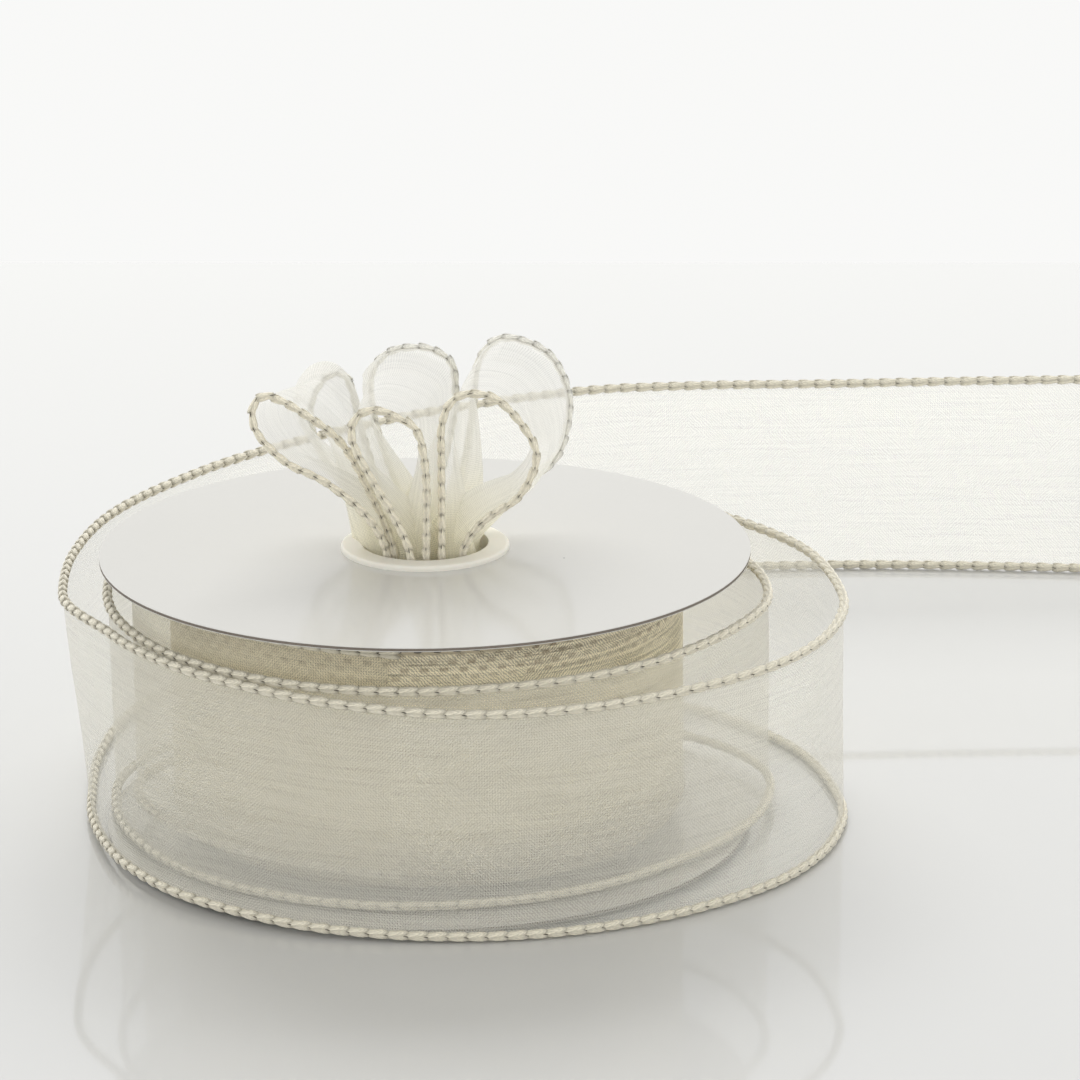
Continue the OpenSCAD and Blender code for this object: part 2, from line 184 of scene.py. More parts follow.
class Nodes:
    """Short hand for building a node tree."""

    def __init__(self, tree):
        self.tree = tree

    def add(self, kind, inputs=None, **settings):
        node = self.tree.nodes.new(kind)
        for key, value in settings.items():
            setattr(node, key, value)
        for key, value in (inputs or {}).items():
            socket = node.inputs[key]
            if isinstance(value, bpy.types.NodeSocket):
                self.tree.links.new(value, socket)
            else:
                socket.default_value = value
        return node

    def math(self, operation, *values, clamp=False):
        node = self.add(
            "ShaderNodeMath", dict(enumerate(values)), operation=operation, use_clamp=clamp)
        return node.outputs[0]

    def plus(self, first, *others):
        for other in others:
            first = self.math("ADD", first, other)
        return first

    def minus(self, first, other):
        return self.math("SUBTRACT", first, other)

    def times(self, first, *others):
        for other in others:
            first = self.math("MULTIPLY", first, other)
        return first

    def split(self, vector):
        return self.add("ShaderNodeSeparateXYZ", {"Vector": vector}).outputs

    def join(self, **parts):
        return self.add("ShaderNodeCombineXYZ", parts).outputs[0]

    def vector(self, operation, *values, out=0):
        node = self.add("ShaderNodeVectorMath", dict(enumerate(values)), operation=operation)
        return node.outputs[out]

    def span(self, value, low, high, to_low, to_high, smooth=False):
        """value from low..high to to_low..to_high."""
        node = self.add("ShaderNodeMapRange", {
            "Value": value, "From Min": low, "From Max": high, "To Min": to_low, "To Max": to_high})
        if smooth:
            node.interpolation_type = "SMOOTHSTEP"
        return node.outputs[0]

    def mix_color(self, share, a, b):
        node = self.add("ShaderNodeMix", data_type="RGBA")
        for socket, value in ((node.inputs[0], share), (node.inputs[6], a), (node.inputs[7], b)):
            if isinstance(value, bpy.types.NodeSocket):
                self.tree.links.new(value, socket)
            elif isinstance(value, tuple):
                socket.default_value = (*value, 1)
            else:
                socket.default_value = value
        return node.outputs[2]

    def noise(self, vector, scale, detail=2.0, roughness=0.5):
        node = self.add("ShaderNodeTexNoise", {
            "Vector": vector, "Scale": scale, "Detail": detail, "Roughness": roughness})
        return node.outputs["Fac"]

    def bump(self, height, distance, strength=1.0):
        node = self.add("ShaderNodeBump", {
            "Height": height, "Distance": distance, "Strength": strength})
        return node.outputs["Normal"]


WALL = 0.945
WALL_WHITE = (1, 1, 0.988, 1)
HORIZON = 2.0
OVERHEAD = 0.5
OVERHEAD_FROM = 0.85


def make_world():
    """A pale surround whose light comes mostly from round about, and less from overhead."""
    world = bpy.data.worlds.new("studio")
    bpy.context.scene.world = world
    world.use_nodes = True
    tree = world.node_tree
    tree.nodes.clear()
    n = Nodes(tree)
    way = n.split(n.add("ShaderNodeTexCoord").outputs["Generated"])
    light = n.span(way["Z"], 0.0, OVERHEAD_FROM, HORIZON, OVERHEAD, smooth=True)
    diffuse = n.add("ShaderNodeLightPath").outputs["Is Diffuse Ray"]
    strength = n.plus(n.times(diffuse, n.minus(light, WALL)), WALL)
    background = n.add("ShaderNodeBackground", {"Color": WALL_WHITE, "Strength": strength})
    out = n.add("ShaderNodeOutputWorld")
    tree.links.new(background.outputs[0], out.inputs[0])


def make_light(name, place, aim, size, power):
    """A soft light that isn't mirrored in the table or the paper."""
    data = bpy.data.lights.new(name, "AREA")
    data.shape = "RECTANGLE"
    data.size, data.size_y = size
    data.energy = power
    lamp = bpy.data.objects.new(name, data)
    lamp.visible_glossy = False
    lamp.location = place
    lamp.rotation_mode = "QUATERNION"
    lamp.rotation_quaternion = (Vector(aim) - Vector(place)).to_track_quat("-Z", "Y")
    bpy.context.scene.collection.objects.link(lamp)


TABLE_WHITE = (0.64, 0.64, 0.63, 1)
TABLE_IOR = 1.75
TABLE_REAR = 0.386
TABLE_REACH = 6.0
TABLE_SLANT = -0.058


def make_table():
    """A glossy white table top whose rear edge is the line behind the spool."""
    reach, rear = TABLE_REACH, TABLE_REAR
    corners = [
        (-reach, -reach, 0), (reach, -reach, 0),
        (reach, rear + TABLE_SLANT * reach, 0), (-reach, rear - TABLE_SLANT * reach, 0)]
    mesh = bpy.data.meshes.new("table")
    mesh.from_pydata(corners, [], [(0, 1, 2, 3)])
    table = new_object("table", mesh)
    material = bpy.data.materials.new("glossy_table")
    material.use_nodes = True
    n = Nodes(material.node_tree)
    where = n.add("ShaderNodeTexCoord").outputs["Object"]
    shader = material.node_tree.nodes["Principled BSDF"]
    shader.inputs["Base Color"].default_value = TABLE_WHITE
    shader.inputs["IOR"].default_value = TABLE_IOR
    tone = n.span(n.noise(where, 3.0), 0.3, 0.7, 0.03, 0.06)
    material.node_tree.links.new(tone, shader.inputs["Roughness"])
    mesh.materials.append(material)


# ---- shader groups -----------------------------------------------------------

def shader_group(name, inputs, outputs):
    tree = bpy.data.node_groups.new(name, "ShaderNodeTree")
    for label, kind, value in inputs:
        socket = tree.interface.new_socket(label, in_out="INPUT", socket_type="NodeSocket" + kind)
        if value is not None:
            socket.default_value = value
    for label, kind in outputs:
        tree.interface.new_socket(label, in_out="OUTPUT", socket_type="NodeSocket" + kind)
    n = Nodes(tree)
    return n, n.add("NodeGroupInput").outputs, n.add("NodeGroupOutput").inputs


# The streaks' noise: so many waves a metre along the ribbon, and across it.
LONG_STREAKS = (70, 1900, 0)
BROAD_STREAKS = (24, 330, 0)
UNEVEN_ROWS = (60, 500, 0)
# The hatch repeats after so many threads, and wanders by so much, in metres.
HATCH_THREADS = 1.5
HATCH_WANDER = 0.0011
THREAD_WANDER = 0.0003


def streaks_on(n, cloth_place):
    """Long streaks along the ribbon, from 0 to 1."""
    fine = n.noise(n.vector("MULTIPLY", cloth_place, LONG_STREAKS), 1.0, 3.0, 0.6)
    broad = n.noise(n.vector("MULTIPLY", cloth_place, BROAD_STREAKS), 1.0, 2.0)
    return n.plus(n.times(fine, 0.65), n.times(broad, 0.35))


def hatch_on(n, cloth_place, pitch):
    """Slanting lines, as where one weave lies over another; their slope turns by patches."""
    place = n.split(cloth_place)
    patch = n.math("GREATER_THAN", n.noise(cloth_place, 75.0, 2.0), 0.5)
    slope = n.minus(n.times(patch, 2.0), 1.0)
    wander = n.times(n.noise(cloth_place, 900.0, 2.0), HATCH_WANDER)
    slanted = n.plus(wander, n.plus(place["X"], n.times(place["Y"], slope)))
    return n.math("SINE", n.math("DIVIDE", n.times(slanted, math.tau), n.times(pitch, HATCH_THREADS)))


def build_weave_group():
    """Plain open weave: how much of the surface the threads cover, their height and their tone."""
    n, given, result = shader_group(
        "open_weave",
        [("Cloth Place", "Vector", None), ("Pitch", "Float", 0.0004),
         ("Thread Share", "Float", 0.5), ("Streaks", "Float", 0.3), ("Hatch", "Float", 0.1)],
        [("Cover", "Float"), ("Height", "Float"), ("Tone", "Float")])
    place = n.split(given["Cloth Place"])
    streak = n.minus(streaks_on(n, given["Cloth Place"]), 0.5)
    hatch = hatch_on(n, given["Cloth Place"], given["Pitch"])
    drift = n.times(n.noise(given["Cloth Place"], 260.0, 1.0), THREAD_WANDER)

    def thread(axis):
        turn = n.math("DIVIDE", n.plus(place[axis], drift), given["Pitch"])
        wave = n.math("ABSOLUTE", n.math("SINE", n.times(turn, math.pi)))
        edge = n.minus(1.0, given["Thread Share"])
        return wave, n.span(wave, n.minus(edge, 0.2), n.plus(edge, 0.2), 0.0, 1.0, smooth=True)

    warp_wave, warp = thread("Y")
    weft_wave, weft = thread("X")
    cover = n.span(n.math("MAXIMUM", n.times(warp, 0.9), weft), 0.0, 1.0, 0.3, 1.0)
    change = n.times(streak, n.times(given["Streaks"], 4.0))
    cover = n.math("MULTIPLY", cover, n.plus(1.0, change), clamp=True)
    cover = n.math("ADD", cover, n.times(hatch, given["Hatch"]), clamp=True)
    tone = n.plus(1.0, n.times(streak, given["Streaks"]), n.times(hatch, n.times(given["Hatch"], 0.6)))
    n.tree.links.new(cover, result["Cover"])
    n.tree.links.new(n.plus(warp_wave, weft_wave), result["Height"])
    n.tree.links.new(tone, result["Tone"])
    return n.tree


def build_rows_and_edge_shade_group():
    """Rows of stitches of the layers beneath, which show through the cloth near its edges, over a band of
    painted shade along each edge.
    """
    n, given, result = shader_group(
        "rows_and_edge_shade",
        [("Cloth Place", "Vector", None), ("Width", "Float", EDGE_STEP * MM), ("Edge", "Float", 0.0012),
         ("Band", "Float", 0.0085), ("Pitch", "Float", STITCH_PITCH * MM), ("Row", "Float", 0.0013),
         ("Row Shift", "Float", 0.43)],
        [("Shade", "Float")])
    place = n.split(given["Cloth Place"])
    from_edge = n.math("MINIMUM", place["Y"], n.minus(given["Width"], place["Y"]))
    near = n.span(from_edge, given["Edge"], given["Band"], 1.0, 0.0, smooth=True)
    row = n.math("DIVIDE", place["Y"], given["Row"])
    shifted = n.plus(
        n.math("DIVIDE", place["X"], given["Pitch"]), n.times(n.math("FLOOR", row), given["Row Shift"]))
    along = n.span(n.math("SINE", n.times(shifted, math.tau)), -0.1, 0.5, 0.0, 1.0, smooth=True)
    hump = n.math("SINE", n.times(n.math("FRACT", row), math.pi))
    across = n.span(hump, 0.3, 0.8, 0.0, 1.0, smooth=True)
    patches = n.noise(n.vector("MULTIPLY", given["Cloth Place"], UNEVEN_ROWS), 1.0, 2.0)
    dash = n.times(along, across, n.span(patches, 0.35, 0.6, 0.2, 1.0))
    # Painted shade: an even band along each edge at a quarter strength, with the stitches beneath darker
    # still at full strength.
    n.tree.links.new(n.times(near, n.plus(0.25, n.times(dash, 0.75))), result["Shade"])
    return n.tree


def build_grain_group():
    """Fine mottling of a moulded or pasted face: a tone and a height."""
    n, given, result = shader_group(
        "fine_grain",
        [("Place", "Vector", None), ("Scale", "Float", 300.0), ("Contrast", "Float", 0.2)],
        [("Tone", "Float"), ("Height", "Float")])
    fine = n.noise(given["Place"], given["Scale"], 4.0, 0.6)
    broad = n.noise(given["Place"], n.times(given["Scale"], 0.08), 2.0)
    both = n.plus(n.times(fine, 0.5), n.times(broad, 0.5))
    tone = n.plus(1.0, n.times(n.minus(both, 0.5), given["Contrast"]))
    n.tree.links.new(tone, result["Tone"])
    n.tree.links.new(fine, result["Height"])
    return n.tree


def placed_group(n, group, inputs):
    """One use of a shader group, with its own values."""
    node = n.add("ShaderNodeGroup", node_tree=group)
    for key, value in inputs.items():
        if isinstance(value, bpy.types.NodeSocket):
            n.tree.links.new(value, node.inputs[key])
        else:
            node.inputs[key].default_value = value
    return node.outputs


def new_material(name):
    material = bpy.data.materials.new(name)
    material.use_nodes = True
    shader = material.node_tree.nodes["Principled BSDF"]
    return material, Nodes(material.node_tree), shader


def scaled_color(n, color, tone):
    return n.add("ShaderNodeVectorMath", {0: color, "Scale": tone}, operation="SCALE").outputs[0]


# ---- materials ---------------------------------------------------------------

CREAM = (0.97, 0.905, 0.70)
PALE_CREAM = (0.87, 0.855, 0.785)
WHITE_CREAM = (0.89, 0.88, 0.835)
FOOT_CREAM = (0.96, 0.93, 0.79)
DEEP_SHADE = (0.50, 0.42, 0.28)
# The brown of the stitches beneath, also used as painted shade along the cloth's edges.
ROWS_AND_EDGE_SHADE = (0.25, 0.185, 0.11)


# How far the ribbon runs from the winding before it looks like a single layer.
CLOSE_RUN = 0.09
CLOSE_DENSITY = 0.3
# How high over the hub the bow's gathered layers look denser and warmer.
FOOT_RISE = 14
FOOT_DENSITY = 0.15


def close_to_winding(n, uv):
    return n.span(n.split(uv)["X"], 0.0, CLOSE_RUN, 1.0, 0.0, smooth=True)


def at_bow_foot(n):
    height = n.split(n.add("ShaderNodeTexCoord").outputs["Object"])["Z"]
    return n.span(height, HUB_TOP * MM, (HUB_TOP + FOOT_RISE) * MM, 1.0, 0.0, smooth=True)


def rows_and_shade_color(n, uv, rows, strength, color):
    """The colour with the rows of stitches beneath showing through it, over painted shade along its edges.
    """
    rows_and_shade = placed_group(n, rows, {"Cloth Place": uv})["Shade"]
    return n.mix_color(n.times(rows_and_shade, strength), color, ROWS_AND_EDGE_SHADE)


def sheer_material(
        name, weave, color, thread_share, density, streaks, hatch, lets_through,
        rows=None, rows_and_shade_strength=0.85, leaves_winding=False, gathered=False, pitch=WEAVE_PITCH):
    """Sheer woven cloth: threads let light through, and the gaps are open."""
    material, n, shader = new_material(name)
    links = n.tree.links
    uv = n.add("ShaderNodeUVMap", uv_map="cloth").outputs[0]
    cloth = placed_group(n, weave, {
        "Cloth Place": uv, "Pitch": pitch * MM, "Thread Share": thread_share, "Streaks": streaks,
        "Hatch": hatch})
    if leaves_winding:
        close = close_to_winding(n, uv)
        color = n.mix_color(close, color, CREAM)
        density = n.plus(density, n.times(close, CLOSE_DENSITY))
        rows_and_shade_strength = n.times(close, rows_and_shade_strength)
    # The stitches beneath show through, over painted shade along the edges.
    if rows:
        color = rows_and_shade_color(n, uv, rows, rows_and_shade_strength, color)
    if gathered:
        foot = at_bow_foot(n)
        color = n.mix_color(foot, color, FOOT_CREAM)
        density = n.plus(density, n.times(foot, FOOT_DENSITY))
    tint = scaled_color(n, color, cloth["Tone"])
    links.new(tint, shader.inputs["Base Color"])
    shader.inputs["Roughness"].default_value = 0.55
    shader.inputs["Sheen Weight"].default_value = 0.25
    shader.inputs["Sheen Roughness"].default_value = 0.4
    links.new(n.bump(cloth["Height"], 0.00006, 0.5), shader.inputs["Normal"])
    through = n.add("ShaderNodeBsdfTranslucent", {"Color": tint})
    body = n.add("ShaderNodeMixShader", {0: lets_through, 1: shader.outputs[0], 2: through.outputs[0]})
    cover = n.math("MULTIPLY", cloth["Cover"], density, clamp=True)
    clear = n.add("ShaderNodeBsdfTransparent")
    whole = n.add("ShaderNodeMixShader", {0: cover, 1: clear.outputs[0], 2: body.outputs[0]})
    out = n.tree.nodes["Material Output"]
    links.new(whole.outputs[0], out.inputs["Surface"])
    return material


def solid_cloth_material(weave, rows):
    """Cloth deep in the winding, where many layers let no light through."""
    material, n, shader = new_material("wound_cloth")
    uv = n.add("ShaderNodeUVMap", uv_map="cloth").outputs[0]
    cloth = placed_group(n, weave, {
        "Cloth Place": uv, "Pitch": WEAVE_PITCH * MM, "Thread Share": 0.6, "Streaks": 1.5, "Hatch": 0.24})
    thread = n.mix_color(n.span(cloth["Cover"], 0.0, 1.0, 0.35, 1.0), DEEP_SHADE, CREAM)
    thread = rows_and_shade_color(n, uv, rows, 0.8, thread)
    n.tree.links.new(scaled_color(n, thread, cloth["Tone"]), shader.inputs["Base Color"])
    n.tree.links.new(n.bump(cloth["Height"], 0.00008, 0.6), shader.inputs["Normal"])
    shader.inputs["Roughness"].default_value = 0.6
    return material


THREAD = (0.80, 0.75, 0.61)
BOW_THREAD = (0.89, 0.83, 0.67)
REAR_THREAD = (0.88, 0.86, 0.78)
WOUND_THREAD = (0.62, 0.54, 0.385)


def thread_material(name, color):
    """Sewing thread, with plies that run along each stitch, and painted shade towards each stitch's ends.
    """
    material, n, shader = new_material(name)
    spot = n.add("ShaderNodeAttribute", attribute_name="stitch_place")
    place = n.split(spot.outputs["Vector"])
    twist = n.plus(n.times(place["X"], 4.0), n.times(place["Z"], 9.0))
    ply = n.math("ABSOLUTE", n.math("SINE", twist))
    # Painted shade: each stitch darkens towards its two ends, where it tucks between its neighbours.
    painted_end_shade = n.span(n.math("ABSOLUTE", place["X"]), 0.45, 1.0, 1.0, 0.72, smooth=True)
    where = n.add("ShaderNodeTexCoord").outputs["Object"]
    fuzz = n.span(n.noise(where, 2600.0, 2.0), 0.3, 0.7, 0.92, 1.06)
    tone = n.times(n.span(ply, 0.0, 1.0, 0.86, 1.04), painted_end_shade, fuzz)
    n.tree.links.new(scaled_color(n, color, tone), shader.inputs["Base Color"])
    n.tree.links.new(n.bump(ply, 0.00009, 0.8), shader.inputs["Normal"])
    shader.inputs["Roughness"].default_value = 0.62
    shader.inputs["Sheen Weight"].default_value = 0.3
    return material


WIRE_BROWN = (0.10, 0.085, 0.06)
BOARD_GREY = (0.17, 0.145, 0.12)
HUB_IVORY = (0.80, 0.77, 0.69)
CORE_BROWN = (0.50, 0.42, 0.31)
TAPE_CREAM = (0.80, 0.76, 0.66)


def wire_material():
    """Fine dark wire that shows between the stitches."""
    material, n, shader = new_material("dark_wire")
    where = n.add("ShaderNodeTexCoord").outputs["Object"]
    tone = n.span(n.noise(where, 900.0, 2.0), 0.3, 0.7, 0.6, 1.5)
    n.tree.links.new(scaled_color(n, WIRE_BROWN, tone), shader.inputs["Base Color"])
    shader.inputs["Metallic"].default_value = 0.2
    shader.inputs["Roughness"].default_value = 0.4
    return material


PAPER_WHITE = (0.585, 0.575, 0.545)
# A small dark speck on the upper flange.
SPECK = (0.0222, -0.0071, 0.0471)
SPECK_SIZE = 0.0002


def paper_material(grain):
    """White coated paper pasted on the boards."""
    material, n, shader = new_material("coated_paper")
    where = n.add("ShaderNodeTexCoord").outputs["Object"]
    mottle = placed_group(n, grain, {"Place": where, "Scale": 700.0, "Contrast": 0.05})
    away = n.vector("DISTANCE", where, SPECK, out=1)
    clean = n.span(away, 0.5 * SPECK_SIZE, SPECK_SIZE, 0.15, 1.0)
    tone = n.times(mottle["Tone"], clean)
    n.tree.links.new(scaled_color(n, PAPER_WHITE, tone), shader.inputs["Base Color"])
    soft = n.span(n.noise(where, 22.0, 2.0), 0.3, 0.7, 0.12, 0.16)
    n.tree.links.new(soft, shader.inputs["Roughness"])
    waves = n.noise(n.vector("MULTIPLY", where, (90, 30, 1)), 1.0, 1.0)
    n.tree.links.new(n.bump(waves, 0.0002, 0.12), shader.inputs["Normal"])
    shader.inputs["IOR"].default_value = 1.7
    return material


def grained_material(name, grain, color, scale, contrast, depth, strength, roughness):
    """A plain finish whose fine grain shows in its tone and in its surface."""
    material, n, shader = new_material(name)
    where = n.add("ShaderNodeTexCoord").outputs["Object"]
    mottle = placed_group(n, grain, {"Place": where, "Scale": scale, "Contrast": contrast})
    n.tree.links.new(scaled_color(n, color, mottle["Tone"]), shader.inputs["Base Color"])
    n.tree.links.new(n.bump(mottle["Height"], depth, strength), shader.inputs["Normal"])
    shader.inputs["Roughness"].default_value = roughness
    return material


def board_material(grain):
    """Grey board with a raw, slightly ragged cut edge."""
    return grained_material(
        "grey_board", grain, BOARD_GREY, scale=1800.0, contrast=0.9, depth=0.0001, strength=0.7,
        roughness=0.9)


def plastic_material(grain):
    """Satin ivory moulded plastic."""
    material = grained_material(
        "ivory_plastic", grain, HUB_IVORY, scale=500.0, contrast=0.06, depth=0.00004, strength=0.25,
        roughness=0.36)
    shader = material.node_tree.nodes["Principled BSDF"]
    shader.inputs["Subsurface Weight"].default_value = 0.15
    shader.inputs["Subsurface Radius"].default_value = (0.003, 0.002, 0.0015)
    shader.inputs["Subsurface Scale"].default_value = 0.4
    return material


def core_material(grain):
    """Plain brown paper tube."""
    return grained_material(
        "core_paper", grain, CORE_BROWN, scale=900.0, contrast=0.4, depth=0.0001, strength=0.5,
        roughness=0.85)


def tape_material(grain):
    """Creped paper tape."""
    return grained_material(
        "paper_tape", grain, TAPE_CREAM, scale=1200.0, contrast=0.25, depth=0.0001, strength=0.4,
        roughness=0.75)


# ---- curves and strips -------------------------------------------------------

def at(points, i):
    return points[max(0, min(len(points) - 1, i))]


def smooth_curve(points, steps):
    """A smooth curve through the points, with the given steps between each two."""
    made = []
    for i in range(len(points) - 1):
        a, b, c, d = (Vector(at(points, j)) for j in (i - 1, i, i + 1, i + 2))
        for k in range(steps):
            t = k / steps
            made.append(0.5 * (
                2 * b + (c - a) * t + (2 * a - 5 * b + 4 * c - d) * t * t
                + (3 * b - a - 3 * c + d) * t * t * t))
    made.append(Vector(points[-1]))
    return made


def on_turn(row):
    """A row of the turns as x, y, lean and lift."""
    angle, share, further, lean, lift = row
    r = PACK_SIDE + share * (RIM_SIDE - PACK_SIDE) + further
    a = math.radians(angle)
    return (r * math.cos(a), r * math.sin(a), lean, lift * RIM_LIFT)


def behind(row):
    """A row of the far stretch as x, y, lean and lift."""
    x, beyond, lean, lift = row
    return (x, RIM_SIDE + beyond, lean, lift)


def upright_edges(way):
    """The two edges of ribbon that stands on its edge along a way of x, y, lean and lift."""
    low, high = [], []
    for i, p in enumerate(way):
        t = (at(way, i + 1).xy - at(way, i - 1).xy).normalized()
        foot = Vector((p[0], p[1], p[3] + CORD_D / 2))
        low.append(foot)
        high.append(foot + Vector((-t.y * p[2], t.x * p[2], EDGE_STEP)))
    return low, high


def lengths_along(points):
    """The run of the line at each of its points."""
    total, made = 0, [0]
    for a, b in zip(points, points[1:]):
        total += (b - a).length
        made.append(total)
    return made


def frames_along(low, high):
    """For each ring of a strip: the way out of the cloth, and the way from edge to edge."""
    made = []
    for i in range(len(low)):
        across = (high[i] - low[i]).normalized()
        along = (at(low, i + 1) - at(low, i - 1)) + (at(high, i + 1) - at(high, i - 1))
        made.append((along.cross(across).normalized(), across))
    return made


def grid_mesh(name, rings, places, material):
    """A cloth surface from rings of points in millimetres, with its place on the flat cloth as UV."""
    count = len(rings[0])
    faces = []
    for i in range(len(rings) - 1):
        for j in range(count - 1):
            a = i * count + j
            faces.append((a, a + count, a + count + 1, a + 1))
    mesh = bpy.data.meshes.new(name)
    mesh.from_pydata([p * MM for ring in rings for p in ring], [], faces)
    flat = [place for ring in places for place in ring]
    uv = mesh.uv_layers.new(name="cloth")
    for loop in mesh.loops:
        uv.data[loop.index].uv = flat[loop.vertex_index]
    mesh.materials.append(material)
    mesh.shade_smooth()
    mesh.update()
    return new_object(name, mesh)


def slack(place, seed, size):
    """Soft unevenness of the cloth, in millimetres."""
    p = Vector((place[0] / MM, place[1] / MM, seed))
    broad = noise.noise(Vector((p.x / 16, p.y / 22, seed)))
    fine = noise.noise(Vector((p.x / 5, p.y / 12, seed + 7)))
    return size * (broad + 0.35 * fine)


def ribbon_strip(name, edges, columns, material, slack_of, start=0.0):
    """Cloth from one corded edge to the other, moved out of its plane by slack_of(place, v)."""
    low, high = edges
    frames = frames_along(low, high)
    run = lengths_along(low)
    rings, places = [], []
    for i in range(len(low)):
        out, _ = frames[i]
        shares = [j / columns for j in range(columns + 1)]
        place = [((run[i] + start) * MM, v * EDGE_STEP * MM) for v in shares]
        rings.append([low[i].lerp(high[i], v) + out * slack_of(p, v) for p, v in zip(place, shares)])
        places.append(place)
    return grid_mesh(name, rings, places, material)


def loose_slack(place, v):
    """The loose turns are slack between their wired edges."""
    return slack(place, 11, 0.45) * math.sin(math.pi * v) ** 0.5


def wound_slack(seed):
    return lambda place, v: slack(place, seed, 0.12)


# ---- the stitched, wired edges -------------------------------------------------

def geometry_tree(name, inputs):
    """An empty tree from edges to edging, with the named inputs."""
    tree = bpy.data.node_groups.new(name, "GeometryNodeTree")
    tree.interface.new_socket("Edges", in_out="INPUT", socket_type="NodeSocketGeometry")
    for label, kind, value in inputs:
        socket = tree.interface.new_socket(label, in_out="INPUT", socket_type="NodeSocket" + kind)
        if value is not None:
            socket.default_value = value
    tree.interface.new_socket("Edging", in_out="OUTPUT", socket_type="NodeSocketGeometry")
    return tree


def turned(n, rotation, x, y, z):
    by = n.add("FunctionNodeEulerToRotation", {"Euler": n.join(X=x, Y=y, Z=z)}).outputs[0]
    return n.add(
        "FunctionNodeRotateRotation", {"Rotation": rotation, "Rotate By": by},
        rotation_space="LOCAL").outputs[0]


def moved(n, geometry, offset):
    return n.add("GeometryNodeSetPosition", {"Geometry": geometry, "Offset": offset}).outputs[0]


def ball_along_x(n, segments, rings, radius):
    ball = n.add("GeometryNodeMeshUVSphere", {
        "Segments": segments, "Rings": rings, "Radius": radius}).outputs["Mesh"]
    return n.add("GeometryNodeTransform", {"Geometry": ball, "Rotation": (0, math.pi / 2, 0)}).outputs[0]


def finished(n, geometry, material):
    return n.add("GeometryNodeSetMaterial", {"Geometry": geometry, "Material": material}).outputs[0]


def realized(n, geometry):
    return n.add("GeometryNodeRealizeInstances", {"Geometry": geometry}).outputs[0]


def stitch_shape(n, given):
    """One stitch: a long drop that lies along X, fuller at its head."""
    spot = n.add("GeometryNodeInputPosition").outputs[0]
    kept = n.add(
        "GeometryNodeStoreNamedAttribute",
        {"Geometry": ball_along_x(n, 8, 6, 1.0), "Name": "stitch_place", "Value": spot},
        data_type="FLOAT_VECTOR", domain="POINT").outputs[0]
    place = n.split(spot)
    fuller = n.minus(0.95, n.times(place["X"], 0.16))
    length, width, depth = (
        n.times(given[k], 0.5) for k in ("Stitch Length", "Stitch Width", "Stitch Depth"))
    drop = n.join(
        X=n.times(place["X"], length), Y=n.times(n.times(place["Y"], width), fuller),
        Z=n.times(n.times(place["Z"], depth), fuller))
    return n.add("GeometryNodeSetPosition", {"Geometry": kept, "Position": drop}).outputs[0]


def stitch_rows(n, given, spots, facing, row_turns):
    """Rows of stitches along the edge, one for each turn about it."""
    stitch = stitch_shape(n, given)
    rows = n.add("GeometryNodeJoinGeometry")
    for number, turn in enumerate(row_turns):
        wobble = n.add(
            "FunctionNodeRandomValue", {"Seed": n.plus(given["Seed"], float(number))}, data_type="FLOAT")
        wobble.inputs[2].default_value = -0.05
        wobble.inputs[3].default_value = 0.05
        row = turned(n, facing, math.radians(turn), 0.0, 0.0)
        away = n.add("FunctionNodeRotateVector", {
            "Vector": n.join(Z=given["Row Radius"]), "Rotation": row}).outputs[0]
        lay = turned(n, row, 0.0, given["Dip"], n.plus(given["Lay"], wobble.outputs[1]))
        placed = n.add("GeometryNodeInstanceOnPoints", {
            "Points": moved(n, spots["Points"], away), "Instance": stitch, "Rotation": lay}).outputs[0]
        n.tree.links.new(placed, rows.inputs[0])
    return realized(n, rows.outputs[0])


def wire_glimpses(n, given, spots, facing, glimpse_turns):
    """Short stretches of wire that show between the stitches."""
    bead = ball_along_x(n, 5, 4, 0.5)
    size = n.join(X=given["Glimpse Length"], Y=given["Glimpse Width"], Z=given["Glimpse Width"])
    between = n.add("ShaderNodeVectorMath", {
        0: spots["Tangent"], "Scale": n.times(given["Pitch"], 0.5)}, operation="SCALE").outputs[0]
    glimpses = n.add("GeometryNodeJoinGeometry")
    for turn in glimpse_turns:
        row = turned(n, facing, math.radians(turn), 0.0, 0.0)
        away = n.add("FunctionNodeRotateVector", {
            "Vector": n.join(Z=given["Glimpse Radius"]), "Rotation": row}).outputs[0]
        shown = n.add("GeometryNodeInstanceOnPoints", {
            "Points": moved(n, spots["Points"], n.vector("ADD", away, between)),
            "Instance": bead, "Rotation": row, "Scale": size}).outputs[0]
        n.tree.links.new(realized(n, shown), glimpses.inputs[0])
    return glimpses.outputs[0]


